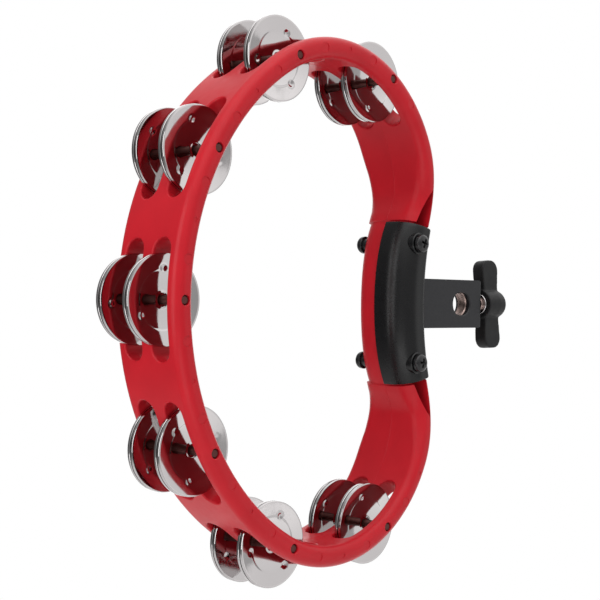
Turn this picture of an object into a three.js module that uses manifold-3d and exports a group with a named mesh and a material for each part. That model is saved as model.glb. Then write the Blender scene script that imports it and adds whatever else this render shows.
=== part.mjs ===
// A ten-inch mountable tambourine: a moulded crescent frame with seven jingle stations in two
// rows, a moulded grip with a saddle cover, and a folded steel rod clamp with an eye bolt and
// a wing nut. Millimetres, +Z up. The origin is the centre of the rod hole. +X runs outboard to
// the wing nut, Y is the axis of the loop, and the player's side faces -Y.
import * as THREE from 'three';
import { mergeVertices } from 'three/addons/utils/BufferGeometryUtils.js';
import Module from 'manifold-3d';

const wasm = await Module();
wasm.setup();

const GAP = 0.3;
const DEGREE = Math.PI / 180;

// The loop's centreline is four tangent arcs on each side of the XZ plane's X axis.
const LOOP_CENTRE_X = -85.1;
const BOW_RADIUS = 129.4;
const BOW_HALF_ANGLE = 60.5 * DEGREE;
const SHOULDER_RADIUS = 68.3;
const SHOULDER_END_ANGLE = 17.3 * DEGREE;
const KNUCKLE_RADIUS = 54.4;
const HANDLE_RADIUS = 154.8;
const STATION_STEP = 11;

// The frame's section: its wall, depth and corners on the bow and on the handle.
const WALL = 10.5;
const HALF_DEPTH = 21.5;
const RIM_RADIUS = 4.6;
const HANDLE_HALF_DEPTH = 18;
const HANDLE_INNER_RADIUS = 10.5;
const HANDLE_OUTER_RADIUS = 2.5;
const HANDLE_BLEND_HEIGHT = 82;
const CORNER_STEPS = 3;

// The grip is a recessed zone in the handle, thickest at its middle, which the cover fills.
const GRIP_HALF_LENGTH = 40.5;
const GRIP_WALL = 15.5;
const GRIP_END_WALL = 13.4;
const SHOULDER_OF_GRIP_WALL = 14.2;
const GRIP_RECESS = 1;
const LEDGE_RUN = 0.2;

// The handle is hollow: a lens-shaped channel, open towards -Y and +Y.
const CHANNEL_HALF_LENGTH = 59;
const CHANNEL_WIDTH = 11;
const OUTER_SKIN = 2.2;

// Jingle stations are equally spaced along the centreline, with a front and a rear row.
const STATION_COUNT = 7;
const STATION_PITCH = 69.7;
const ROW_Y = 9.1;
const SLOT_LENGTH = 52;
const SLOT_WIDTH = 11.2;
const PIN_RADIUS = 2;
const PIN_HALF_LENGTH = 20.7;

const JINGLE_RADIUS = 20.3;
const JINGLE_HOLE_RADIUS = 3.2;
const JINGLE_DISH_RADIUS = 14.5;
const JINGLE_DISH_DEPTH = 1.1;
const JINGLE_SHEET = 0.5;
const JINGLE_SIDES = 16;
const PAIR_DEPTH = 2 * (JINGLE_SHEET + JINGLE_DISH_DEPTH) + GAP;

const COVER_THICKNESS = 1.9;
const COVER_HALF_LENGTH = 39.6;
const COVER_EDGE_Y = 0;
const COVER_WRAP_Y = -15.5;
const BOLT_X = -55;
const BOLT_Z = 30.6;
const BOLT_RADIUS = 2.4;
const BARREL_RADIUS = 3.4;
const BARREL_END_Y = -8;
const HEAD_RADIUS = 4.6;
const HEAD_HEIGHT = 3.2;
const REAR_HEAD_HEIGHT = 4.2;
const COVER_PAD_Y = -(HANDLE_HALF_DEPTH - GRIP_RECESS + GAP + COVER_THICKNESS);
const REAR_PAD_Y = HANDLE_HALF_DEPTH - GRIP_RECESS;
const PAD_RADIUS = 5.6;

const PLATE = 2;
const BRACKET_HALF_WIDTH = 5;
const BRACKET_HALF_HEIGHT = 13.2;
const BRACKET_END_X = 19.3;
const BRACKET_ROOT_X = -60.4;
const BRACKET_EAR_HEIGHT = 36;
const BRACKET_CORNER = 4;
const BEND_RADIUS = 3;
const ROD_HOLE_RADIUS = 6.25;
const ROD_SLOT_SHIFT = 1.2;

const EYE_RADIUS = 9.4;
const EYE_HALF_WIDTH = 2.7;
const BOLT_SHANK_RADIUS = 2.9;
const BOLT_SHANK_END_X = 33;
const COLLAR_RADIUS = 4.4;
const COLLAR_END_X = 21.2;
const WASHER_RADIUS = 5.8;
const WASHER_END_X = 22.4;

const WING_START_X = 22.4;
const WING_END_X = 37;
const WING_HALF_SPAN = 24.9;
const WING_HALF_WIDTH = 3.6;
const WING_TILT = -3.5 * DEGREE;
const HUB_RADIUS = 8.1;
const HUB_START_X = WASHER_END_X + GAP;
const HUB_END_X = 41.2;
const INSERT_RADIUS = 5;
const INSERT_END_X = HUB_START_X + 6;

const red = { color: 0xb91421, roughness: 0.42, metalness: 0 };
const satinBlack = { color: 0x17181a, roughness: 0.38, metalness: 0 };
const glossBlack = { color: 0x0c0c0d, roughness: 0.25, metalness: 0.4 };
const powderCoat = { color: 0x3a3a3e, roughness: 0.5, metalness: 0.3 };
const nickel = { color: 0xd9d6d2, roughness: 0.12, metalness: 1 };
const steel = { color: 0x9b938c, roughness: 0.35, metalness: 1 };

const tambourine = new THREE.Group();

function addPiece(name, solid, finish) {
  const mesh = new THREE.Mesh(geometryOf(solid), new THREE.MeshStandardMaterial(finish));
  mesh.name = name;
  tambourine.add(mesh);
}

// ---- solids -------------------------------------------------------------------------------

function solidOf(source) {
  let geometry = source.clone();
  geometry.deleteAttribute('normal');
  geometry.deleteAttribute('uv');
  geometry = mergeVertices(geometry, 1e-4);
  return new wasm.Manifold(new wasm.Mesh({
    numProp: 3,
    vertProperties: new Float32Array(geometry.attributes.position.array),
    triVerts: new Uint32Array(geometry.index.array),
  }));
}

function geometryOf(solid) {
  const mesh = solid.getMesh();
  const geometry = new THREE.BufferGeometry();
  geometry.setAttribute('position', new THREE.BufferAttribute(mesh.vertProperties, 3));
  geometry.setIndex(new THREE.BufferAttribute(mesh.triVerts, 1));
  geometry.computeVertexNormals();
  return geometry;
}

function rodAlongY(x, z, radius, fromY, toY, sides = 20) {
  const rod = new THREE.CylinderGeometry(radius, radius, toY - fromY, sides);
  rod.translate(x, (fromY + toY) / 2, z);
  return solidOf(rod);
}

function rodAlongX(radius, fromX, toX, sides = 20) {
  const rod = new THREE.CylinderGeometry(radius, radius, toX - fromX, sides);
  rod.rotateZ(-Math.PI / 2);
  rod.translate((fromX + toX) / 2, 0, 0);
  return solidOf(rod);
}

function block(low, high) {
  const size = high.map((value, axis) => value - low[axis]);
  const box = new THREE.BoxGeometry(...size);
  box.translate(...low.map((value, axis) => value + size[axis] / 2));
  return solidOf(box);
}

// A flat outline in X and Z, extruded along Y between two planes.
function slabAlongY(shape, fromY, toY) {
  const slab = new THREE.ExtrudeGeometry(shape, {
    depth: toY - fromY, bevelEnabled: false, curveSegments: 3,
  });
  slab.rotateX(Math.PI / 2);
  slab.translate(0, toY, 0);
  return solidOf(slab);
}

// A profile of (radius, position) points turned about the Y axis. The profile closes on itself.
function turned(profile, sides) {
  const points = profile.map(([radius, y]) => new THREE.Vector2(radius, y));
  const [head] = points;
  const last = points[points.length - 1];
  if (head.x > 0 || last.x > 0) points.push(head.clone());
  return new THREE.LatheGeometry(points, sides);
}

// Skins a row of equal rings. A closed row joins its last ring to its first.
function skin(rings, isClosed) {
  const count = rings[0].length;
  const positions = rings.flat().flatMap((point) => point.toArray());
  const faces = [];
  const spans = isClosed ? rings.length : rings.length - 1;
  for (let ring = 0; ring < spans; ring += 1) {
    for (let side = 0; side < count; side += 1) {
      const here = ring * count;
      const there = ((ring + 1) % rings.length) * count;
      const next = (side + 1) % count;
      faces.push(here + side, there + side, there + next);
      faces.push(here + side, there + next, here + next);
    }
  }
  if (!isClosed) {
    const lastRing = (rings.length - 1) * count;
    for (let side = 1; side < count - 1; side += 1) {
      faces.push(0, side, side + 1);
      faces.push(lastRing, lastRing + side + 1, lastRing + side);
    }
  }
  const geometry = new THREE.BufferGeometry();
  geometry.setAttribute('position', new THREE.Float32BufferAttribute(positions, 3));
  geometry.setIndex(faces);
  return solidOf(geometry);
}

// ---- the loop -----------------------------------------------------------------------------

function along(centre, radius, angle) {
  return new THREE.Vector2(
    centre.x + radius * Math.cos(angle),
    centre.y + radius * Math.sin(angle),
  );
}

function upperArcs() {
  const bowCentre = new THREE.Vector2(LOOP_CENTRE_X, 0);
  const bowEnd = Math.PI - BOW_HALF_ANGLE;
  const shoulderCentre = along(bowCentre, BOW_RADIUS - SHOULDER_RADIUS, bowEnd);
  const knuckleCentre = along(
    shoulderCentre,
    SHOULDER_RADIUS - KNUCKLE_RADIUS,
    SHOULDER_END_ANGLE,
  );
  const span = KNUCKLE_RADIUS + HANDLE_RADIUS;
  const handleAngle = -Math.asin(knuckleCentre.y / span);
  const handleCentre = along(knuckleCentre, span, handleAngle);
  return [
    { centre: bowCentre, radius: BOW_RADIUS, from: Math.PI, to: bowEnd, facing: 1 },
    { centre: shoulderCentre, radius: SHOULDER_RADIUS, from: bowEnd, to: SHOULDER_END_ANGLE, facing: 1 },
    { centre: knuckleCentre, radius: KNUCKLE_RADIUS, from: SHOULDER_END_ANGLE, to: handleAngle, facing: 1 },
    { centre: handleCentre, radius: HANDLE_RADIUS, from: Math.PI + handleAngle, to: Math.PI, facing: -1 },
  ];
}

const ARCS = upperArcs();
const lengthOf = (arc) => Math.abs(arc.to - arc.from) * arc.radius;
const HALF_LENGTH = ARCS.reduce((total, arc) => total + lengthOf(arc), 0);

// A place on the centreline at a distance from the middle of the bow, positive upwards.
function station(distance) {
  let rest = Math.min(Math.abs(distance), HALF_LENGTH);
  let index = 0;
  while (index < ARCS.length - 1 && rest > lengthOf(ARCS[index])) {
    rest -= lengthOf(ARCS[index]);
    index += 1;
  }
  const arc = ARCS[index];
  const angle = arc.from + (arc.to - arc.from) * (rest / lengthOf(arc));
  const point = along(arc.centre, arc.radius, angle);
  const side = distance < 0 ? -1 : 1;
  return {
    x: point.x,
    z: side * point.y,
    normalX: arc.facing * Math.cos(angle),
    normalZ: side * arc.facing * Math.sin(angle),
  };
}

function place(spot, outward, y) {
  return new THREE.Vector3(
    spot.x + outward * spot.normalX,
    y,
    spot.z + outward * spot.normalZ,
  );
}

// ---- the frame ----------------------------------------------------------------------------

function smoothStep(value) {
  const clamped = THREE.MathUtils.clamp(value, 0, 1);
  return clamped * clamped * (3 - 2 * clamped);
}

const isInGrip = (spot) => spot.x > LOOP_CENTRE_X && Math.abs(spot.z) < GRIP_HALF_LENGTH;

function wallAt(spot) {
  if (spot.x < LOOP_CENTRE_X) return WALL;
  if (isInGrip(spot)) {
    const reach = Math.abs(spot.z) / GRIP_HALF_LENGTH;
    return GRIP_WALL - (GRIP_WALL - GRIP_END_WALL) * reach ** 4;
  }
  const rise = (CHANNEL_HALF_LENGTH - Math.abs(spot.z)) / (CHANNEL_HALF_LENGTH - GRIP_HALF_LENGTH);
  return THREE.MathUtils.lerp(WALL, SHOULDER_OF_GRIP_WALL, smoothStep(rise));
}

function handleShare(spot) {
  if (spot.x < LOOP_CENTRE_X) return 0;
  const run = HANDLE_BLEND_HEIGHT - GRIP_HALF_LENGTH;
  return smoothStep((HANDLE_BLEND_HEIGHT - Math.abs(spot.z)) / run);
}

// The frame's section as a ring, grown outwards by an even amount.
function sectionRing(spot, grow) {
  const share = handleShare(spot);
  const recess = isInGrip(spot) ? GRIP_RECESS : 0;
  const halfDepth = THREE.MathUtils.lerp(HALF_DEPTH, HANDLE_HALF_DEPTH, share) - recess;
  const wall = wallAt(spot);
  const outerRadius = THREE.MathUtils.lerp(RIM_RADIUS, HANDLE_OUTER_RADIUS, share);
  const innerRadius = Math.min(
    THREE.MathUtils.lerp(RIM_RADIUS, HANDLE_INNER_RADIUS, share),
    wall - outerRadius - GAP,
  );
  const outer = WALL / 2;
  const inner = outer - wall;
  const corners = [
    { outward: outer - outerRadius, y: halfDepth - outerRadius, radius: outerRadius, from: 0 },
    { outward: inner + innerRadius, y: halfDepth - innerRadius, radius: innerRadius, from: 90 },
    { outward: inner + innerRadius, y: innerRadius - halfDepth, radius: innerRadius, from: 180 },
    { outward: outer - outerRadius, y: outerRadius - halfDepth, radius: outerRadius, from: 270 },
  ];
  const ring = [];
  for (const corner of corners) {
    for (let step = 0; step <= CORNER_STEPS; step += 1) {
      const angle = (corner.from + (90 * step) / CORNER_STEPS) * DEGREE;
      const reach = corner.radius + grow;
      ring.push(place(
        spot,
        corner.outward + reach * Math.cos(angle),
        corner.y + reach * Math.sin(angle),
      ));
    }
  }
  return ring;
}

function distanceAtHeight(height) {
  let low = HALF_LENGTH - lengthOf(ARCS[3]) - lengthOf(ARCS[2]);
  let high = HALF_LENGTH;
  for (let turn = 0; turn < 30; turn += 1) {
    const middle = (low + high) / 2;
    if (station(middle).z > height) low = middle;
    else high = middle;
  }
  return low;
}

function frameLoop() {
  const ledge = distanceAtHeight(GRIP_HALF_LENGTH);
  const distances = [ledge - LEDGE_RUN, ledge + LEDGE_RUN];
  const steps = Math.ceil(HALF_LENGTH / STATION_STEP);
  for (let step = 0; step < steps; step += 1) {
    const distance = (HALF_LENGTH * step) / steps;
    if (Math.abs(distance - ledge) > STATION_STEP / 3) distances.push(distance);
  }
  distances.sort((a, b) => a - b);
  const mirrored = distances.slice(1).reverse().map((distance) => -distance);
  return skin([...distances, HALF_LENGTH, ...mirrored].map((d) => sectionRing(station(d), 0)), true);
}

function gripBody(grow, halfLength) {
  const end = distanceAtHeight(halfLength);
  const steps = 7;
  const rings = [];
  for (let step = -steps; step <= steps; step += 1) {
    const distance = HALF_LENGTH - (HALF_LENGTH - end) * (Math.abs(step) / steps);
    rings.push(sectionRing(station(step < 0 ? distance : -distance), grow));
  }
  return skin(rings, false);
}

// The channel's width at a height, zero at its two pointed ends.
function channelWidthAt(height) {
  const reach = Math.min(Math.abs(height) / CHANNEL_HALF_LENGTH, 1);
  return CHANNEL_WIDTH * (1 - reach * reach) ** 0.6;
}

// An outline that follows the channel between two heights, held back by a margin.
function channelOutline(fromHeight, toHeight, margin) {
  const steps = 10;
  const outside = [];
  const inside = [];
  for (let step = 0; step <= steps; step += 1) {
    const height = THREE.MathUtils.lerp(fromHeight, toHeight, step / steps);
    const side = height < 0 ? -1 : 1;
    const spot = station(side * distanceAtHeight(Math.abs(height)));
    const outward = WALL / 2 - OUTER_SKIN;
    outside.push(place(spot, outward - margin, 0));
    if (margin > 0 || (step > 0 && step < steps)) {
      inside.push(place(spot, outward - channelWidthAt(height) + margin, 0));
    }
  }
  return new THREE.Shape([...outside, ...inside.reverse()].map((p) => new THREE.Vector2(p.x, p.z)));
}

// A slot's stadium outline, cut through the wall along the station's outward direction.
function jingleSlot(distance, rowY) {
  const spot = station(distance);
  const radius = SLOT_WIDTH / 2;
  const straight = SLOT_LENGTH / 2 - radius;
  const shape = new THREE.Shape();
  shape.absarc(straight, 0, radius, -Math.PI / 2, Math.PI / 2, false);
  shape.absarc(-straight, 0, radius, Math.PI / 2, 1.5 * Math.PI, false);
  const cutter = new THREE.ExtrudeGeometry(shape, { depth: 30, bevelEnabled: false, curveSegments: 3 });
  cutter.translate(0, 0, -15);
  const tangent = new THREE.Vector3(-spot.normalZ, 0, spot.normalX);
  const axial = new THREE.Vector3(0, 1, 0);
  const outward = new THREE.Vector3().crossVectors(tangent, axial);
  cutter.applyMatrix4(new THREE.Matrix4().makeBasis(tangent, axial, outward));
  cutter.translate(spot.x, rowY, spot.z);
  return solidOf(cutter);
}

const stationDistances = [];
for (let index = 0; index < STATION_COUNT; index += 1) {
  stationDistances.push(STATION_PITCH * ((STATION_COUNT - 1) / 2 - index));
}

function makeFrame() {
  const everyY = HALF_DEPTH + 2;
  const loop = frameLoop();
  let frame = loop.subtract(slabAlongY(
    channelOutline(-CHANNEL_HALF_LENGTH, CHANNEL_HALF_LENGTH, 0), -everyY, everyY,
  ));
  frame = frame.subtract(block(
    [-55, -everyY, -BRACKET_HALF_HEIGHT - 0.5],
    [-40, everyY, BRACKET_HALF_HEIGHT + 0.5],
  ));
  const bossStart = BRACKET_HALF_WIDTH + 0.5;
  for (const z of [BOLT_Z, -BOLT_Z]) {
    const frontBoss = rodAlongY(BOLT_X, z, PAD_RADIUS, -HANDLE_HALF_DEPTH, -bossStart);
    const rearBoss = rodAlongY(BOLT_X, z, PAD_RADIUS, bossStart, HANDLE_HALF_DEPTH);
    frame = frame.add(frontBoss.add(rearBoss).intersect(loop));
    frame = frame.subtract(rodAlongY(BOLT_X, z, BOLT_RADIUS + GAP, -everyY, 0));
    frame = frame.subtract(rodAlongY(BOLT_X, z, BARREL_RADIUS + GAP, BARREL_END_Y - GAP, everyY));
  }
  for (const distance of stationDistances) {
    const spot = station(distance);
    frame = frame.subtract(jingleSlot(distance, -ROW_Y));
    frame = frame.subtract(jingleSlot(distance, ROW_Y));
    frame = frame.subtract(rodAlongY(spot.x, spot.z, PIN_RADIUS + GAP, -everyY, everyY, 12));
  }
  return frame;
}

// ---- the handle's cover and fasteners -------------------------------------------------------

function makeCover() {
  let cover = gripBody(GAP + COVER_THICKNESS, COVER_HALF_LENGTH);
  for (const z of [BOLT_Z, -BOLT_Z]) {
    cover = cover.add(rodAlongY(BOLT_X, z, PAD_RADIUS, COVER_PAD_Y, 0));
  }
  cover = cover.subtract(gripBody(GAP, COVER_HALF_LENGTH + 1));
  cover = cover.subtract(block([-90, COVER_EDGE_Y, -60], [-20, 40, 60]));
  cover = cover.subtract(block([BOLT_X, COVER_WRAP_Y, -60], [-20, 40, 60]));
  for (const z of [BOLT_Z, -BOLT_Z]) {
    cover = cover.subtract(rodAlongY(BOLT_X, z, BOLT_RADIUS + GAP, COVER_PAD_Y - 1, 0));
  }
  return cover;
}

// A head with a crowned face towards +Y, seated on the plane y = 0.
function crownedHead(height) {
  return solidOf(turned([
    [0, 0],
    [HEAD_RADIUS, 0],
    [HEAD_RADIUS, height * 0.45],
    [HEAD_RADIUS * 0.82, height * 0.85],
    [HEAD_RADIUS * 0.45, height],
    [0, height],
  ], 16));
}

function makeBolt(z) {
  const seat = COVER_PAD_Y - GAP;
  const head = crownedHead(HEAD_HEIGHT).rotate([180, 0, 0]).translate([BOLT_X, seat, z]);
  return head.add(rodAlongY(BOLT_X, z, BOLT_RADIUS, seat - 0.5, BOLT_RADIUS * 3, 16));
}

function makeBarrelNut(z) {
  const seat = REAR_PAD_Y + GAP;
  const head = crownedHead(REAR_HEAD_HEIGHT).translate([BOLT_X, seat, z]);
  const barrel = rodAlongY(BOLT_X, z, BARREL_RADIUS, BARREL_END_Y, seat + 0.5, 16);
  const bore = rodAlongY(BOLT_X, z, BOLT_RADIUS + GAP, BARREL_END_Y - 1, BOLT_RADIUS * 3 + 2, 16);
  return head.add(barrel).subtract(bore);
}

// ---- the rod clamp --------------------------------------------------------------------------

// The strap's folded section in X and Y: two plates joined by a web at the outboard end.
function strapSection() {
  const end = BRACKET_END_X;
  const half = BRACKET_HALF_WIDTH;
  const inside = half - PLATE;
  const innerBend = BEND_RADIUS - PLATE;
  const bend = end - BEND_RADIUS;
  const shape = new THREE.Shape();
  shape.moveTo(BRACKET_ROOT_X, -half);
  shape.lineTo(bend, -half);
  shape.absarc(bend, BEND_RADIUS - half, BEND_RADIUS, -Math.PI / 2, 0, false);
  shape.absarc(bend, half - BEND_RADIUS, BEND_RADIUS, 0, Math.PI / 2, false);
  shape.lineTo(BRACKET_ROOT_X, half);
  shape.lineTo(BRACKET_ROOT_X, inside);
  shape.absarc(bend, half - BEND_RADIUS, innerBend, Math.PI / 2, 0, true);
  shape.absarc(bend, BEND_RADIUS - half, innerBend, 0, -Math.PI / 2, true);
  shape.lineTo(BRACKET_ROOT_X, -inside);
  return shape;
}

function plateOutline() {
  const height = BRACKET_HALF_HEIGHT;
  const corner = BRACKET_CORNER;
  const shape = new THREE.Shape();
  shape.moveTo(BRACKET_ROOT_X, -height);
  shape.lineTo(BRACKET_END_X - corner, -height);
  shape.absarc(BRACKET_END_X - corner, corner - height, corner, -Math.PI / 2, 0, false);
  shape.absarc(BRACKET_END_X - corner, height - corner, corner, 0, Math.PI / 2, false);
  shape.lineTo(BRACKET_ROOT_X, height);
  return shape;
}

function makeBracket() {
  const reach = BRACKET_HALF_WIDTH + 1;
  const strap = new THREE.ExtrudeGeometry(strapSection(), {
    depth: 2 * BRACKET_EAR_HEIGHT, bevelEnabled: false, curveSegments: 2,
  });
  strap.translate(0, 0, -BRACKET_EAR_HEIGHT);
  const ears = channelOutline(-BRACKET_EAR_HEIGHT, BRACKET_EAR_HEIGHT, 0.45);
  const blank = slabAlongY(plateOutline(), -reach, reach).add(slabAlongY(ears, -reach, reach));
  let bracket = solidOf(strap).intersect(blank);
  for (const x of [-ROD_SLOT_SHIFT, ROD_SLOT_SHIFT]) {
    bracket = bracket.subtract(rodAlongY(x, 0, ROD_HOLE_RADIUS, -reach, reach, 24));
  }
  bracket = bracket.subtract(block(
    [-ROD_SLOT_SHIFT, -reach, -ROD_HOLE_RADIUS],
    [ROD_SLOT_SHIFT, reach, ROD_HOLE_RADIUS],
  ));
  bracket = bracket.subtract(rodAlongX(BOLT_SHANK_RADIUS + 0.4, 10, 30));
  for (const z of [BOLT_Z, -BOLT_Z]) {
    bracket = bracket.subtract(rodAlongY(BOLT_X, z, BARREL_RADIUS + GAP, -reach, reach));
  }
  return bracket;
}

function makeEyeBolt() {
  const eye = rodAlongY(0, 0, EYE_RADIUS, -EYE_HALF_WIDTH, EYE_HALF_WIDTH, 24);
  const shank = rodAlongX(BOLT_SHANK_RADIUS, ROD_HOLE_RADIUS + 1, BOLT_SHANK_END_X);
  const hole = rodAlongY(0, 0, ROD_HOLE_RADIUS, -EYE_HALF_WIDTH - 1, EYE_HALF_WIDTH + 1, 24);
  return eye.add(shank).subtract(hole);
}

// A collar that stands on the bracket, with a wide flange for the wing nut.
function makeWasher() {
  const start = BRACKET_END_X + GAP;
  const hole = rodAlongX(BOLT_SHANK_RADIUS + 0.4, start - 1, WASHER_END_X + 1);
  const collar = rodAlongX(COLLAR_RADIUS, start, WASHER_END_X);
  return collar.add(rodAlongX(WASHER_RADIUS, COLLAR_END_X, WASHER_END_X)).subtract(hole);
}

// The wings' outline in X and Z, waisted a little towards the hub.
function wingOutline() {
  const corner = (WING_END_X - WING_START_X) / 2 - 0.6;
  const shape = new THREE.Shape();
  shape.moveTo(WING_START_X + 0.8, 0);
  shape.lineTo(WING_START_X, corner - WING_HALF_SPAN);
  shape.absarc(WING_START_X + corner, corner - WING_HALF_SPAN, corner, Math.PI, 1.5 * Math.PI, false);
  shape.absarc(WING_END_X - corner, corner - WING_HALF_SPAN, corner, 1.5 * Math.PI, 2 * Math.PI, false);
  shape.lineTo(WING_END_X - 0.8, 0);
  shape.absarc(WING_END_X - corner, WING_HALF_SPAN - corner, corner, 0, 0.5 * Math.PI, false);
  shape.absarc(WING_START_X + corner, WING_HALF_SPAN - corner, corner, 0.5 * Math.PI, Math.PI, false);
  return shape;
}

function makeWingNut() {
  const hub = turned([
    [0, HUB_START_X],
    [HUB_RADIUS, HUB_START_X],
    [HUB_RADIUS, HUB_END_X - 3],
    [HUB_RADIUS * 0.86, HUB_END_X - 1.2],
    [HUB_RADIUS * 0.5, HUB_END_X - 0.2],
    [0, HUB_END_X],
  ], 20);
  hub.rotateZ(-Math.PI / 2);
  const wings = slabAlongY(wingOutline(), -WING_HALF_WIDTH, WING_HALF_WIDTH);
  const before = WING_START_X - 2;
  const bore = rodAlongX(BOLT_SHANK_RADIUS + GAP, before, HUB_END_X - 2);
  const pocket = rodAlongX(INSERT_RADIUS + GAP, before, INSERT_END_X + GAP, 6);
  const relief = rodAlongX(WASHER_RADIUS + 0.7, before, HUB_START_X);
  const nut = wings.add(solidOf(hub)).subtract(bore).subtract(pocket).subtract(relief);
  return nut.rotate([WING_TILT / DEGREE, 0, 0]);
}

function makeInsert() {
  const bore = rodAlongX(BOLT_SHANK_RADIUS + 0.1, HUB_START_X - 1, INSERT_END_X + 1);
  const hexagon = rodAlongX(INSERT_RADIUS, HUB_START_X, INSERT_END_X, 6);
  return hexagon.subtract(bore).rotate([WING_TILT / DEGREE, 0, 0]);
}

// ---- jingles and pins -----------------------------------------------------------------------

// A dished disc with its flat rim's front face on y = 0 and its dish hollowed towards +Y.
function jingleDisc() {
  const floor = JINGLE_DISH_DEPTH;
  return solidOf(turned([
    [JINGLE_HOLE_RADIUS, floor],
    [JINGLE_DISH_RADIUS, 0],
    [JINGLE_RADIUS, 0],
    [JINGLE_RADIUS, JINGLE_SHEET],
    [JINGLE_DISH_RADIUS, JINGLE_SHEET],
    [JINGLE_HOLE_RADIUS, floor + JINGLE_SHEET],
  ], JINGLE_SIDES));
}

function addStation(index, distance) {
  const number = index + 1;
  const spot = station(distance);
  addPiece(`pin_${number}`, rodAlongY(spot.x, spot.z, PIN_RADIUS, -PIN_HALF_LENGTH, PIN_HALF_LENGTH, 12), steel);
  const disc = jingleDisc();
  for (const [row, rowY] of [['front', -ROW_Y], ['rear', ROW_Y]]) {
    const start = rowY + SLOT_WIDTH / 2 - GAP - PAIR_DEPTH;
    const near = disc.translate([spot.x, start, spot.z]);
    const far = disc.rotate([180, 0, 0]).translate([spot.x, start + PAIR_DEPTH, spot.z]);
    addPiece(`jingle_${number}_${row}_near`, near, nickel);
    addPiece(`jingle_${number}_${row}_far`, far, nickel);
  }
}

addPiece('frame', makeFrame(), red);
addPiece('saddle_cover', makeCover(), satinBlack);
addPiece('bracket', makeBracket(), powderCoat);
addPiece('eye_bolt', makeEyeBolt(), steel);
addPiece('washer', makeWasher(), nickel);
addPiece('wing_nut', makeWingNut(), satinBlack);
addPiece('wing_nut_insert', makeInsert(), steel);
for (const [side, z] of [['top', BOLT_Z], ['bottom', -BOLT_Z]]) {
  addPiece(`bolt_${side}`, makeBolt(z), glossBlack);
  addPiece(`barrel_nut_${side}`, makeBarrelNut(z), glossBlack);
}
stationDistances.forEach((distance, index) => addStation(index, distance));

export default tambourine;
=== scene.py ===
import itertools
import math
from collections import namedtuple

import bmesh
import bpy
from mathutils import Matrix, Vector


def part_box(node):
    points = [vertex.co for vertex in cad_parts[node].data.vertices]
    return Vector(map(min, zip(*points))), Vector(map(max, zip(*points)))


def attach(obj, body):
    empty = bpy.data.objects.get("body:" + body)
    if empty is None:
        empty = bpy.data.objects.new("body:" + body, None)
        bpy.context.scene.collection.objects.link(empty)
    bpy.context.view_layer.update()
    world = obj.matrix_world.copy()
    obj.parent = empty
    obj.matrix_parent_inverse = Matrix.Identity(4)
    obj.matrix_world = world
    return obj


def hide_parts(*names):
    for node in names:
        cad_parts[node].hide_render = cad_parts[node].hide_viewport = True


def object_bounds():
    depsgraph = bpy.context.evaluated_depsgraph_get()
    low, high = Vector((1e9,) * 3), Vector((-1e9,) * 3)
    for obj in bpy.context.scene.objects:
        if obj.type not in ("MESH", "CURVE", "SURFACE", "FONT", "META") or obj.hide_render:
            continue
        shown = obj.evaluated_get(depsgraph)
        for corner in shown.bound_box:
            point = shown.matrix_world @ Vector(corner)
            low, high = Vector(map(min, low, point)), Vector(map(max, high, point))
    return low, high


# A ten-inch mountable tambourine. Pieces are modelled in millimetres, in the frame of the
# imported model, and scaled to metres when they are finished. X runs outboard to the wing nut,
# Y is the axis of the loop, and the player's side faces -Y.
MM = 0.001
TURN = 2 * math.pi

# The loop's centreline is four tangent arcs above the X axis, and their mirror image below it.
LOOP_CENTRE_X = -85.1
BOW_RADIUS = 129.4
BOW_HALF_ANGLE = math.radians(60.5)
SHOULDER_RADIUS = 68.3
SHOULDER_END_ANGLE = math.radians(17.3)
KNUCKLE_RADIUS = 54.4
HANDLE_RADIUS = 154.8

# The moulding's section, on the bow and on the handle.
WALL = 10.5
HALF_DEPTH = 21.5
RIM_RADIUS = 4.6
HANDLE_HALF_DEPTH = 18
HANDLE_INNER_RADIUS = 10.5
HANDLE_OUTER_RADIUS = 2.5
HANDLE_BLEND_HEIGHT = 82
GRIP_HALF_LENGTH = 40.5
GRIP_WALL = 15.5
GRIP_END_WALL = 13.4
SHOULDER_OF_GRIP_WALL = 14.2
GRIP_RECESS = 1
LEDGE_RUN = 0.3
CHANNEL_HALF_LENGTH = 59
CHANNEL_WIDTH = 11
OUTER_SKIN = 2.2
RING_STEP = 2.2
CORNER_STEPS = 7
PARTING_RELIEF = 0.12
CUT_MARGIN = 2

# Slots, pins and jingles. The cap of a slot's cutter is flat, and stands well clear of the curved
# wall, so that no film of plastic is left across the slot. Ejector marks are (distance along the
# loop from a station, radius, depth).
STATION_PITCH = 69.7
STATIONS = 7
STATION_DISTANCES = [STATION_PITCH * ((STATIONS - 1) / 2 - index) for index in range(STATIONS)]
ROW_Y = 9.1
SLOT_LENGTH = 52
SLOT_WIDTH = 11.2
SLOT_FILLET = 0.9
CAP_CLEARANCE = 7
SLOT_END_STEPS = 14
SLOT_SIDE_STEPS = 10
PIN_CLEARANCE = 0.3
COUNTERSINK = 0.45
COUNTERSINK_DEPTH = 0.35
EJECTOR_MARKS = ((-17.5, 2.4, 0.3), (17.5, 2.4, 0.3), (-34.85, 1.1, 0.25))
JINGLE_HOLE = 3.2
SHEET = 0.4
SKIRT = 1.45
DIMPLE_RING = 13.8
DIMPLE_RADIUS = 1.9
DIMPLE_DEPTH = 0.55
JINGLE_SPINS = (90, 20, 68, 104)

# How far the jingle's face is sunk at each radius: a raised lip at the hole, a bowl, a small
# step at the bowl's edge and a sloping flange.
DISH_PROFILE = ((JINGLE_HOLE, 1.0), (4.0, 1.33), (12.9, 0.9), (13.3, 0.78), (20, 0))
BOWL_RADIUS = 12.9

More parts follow.
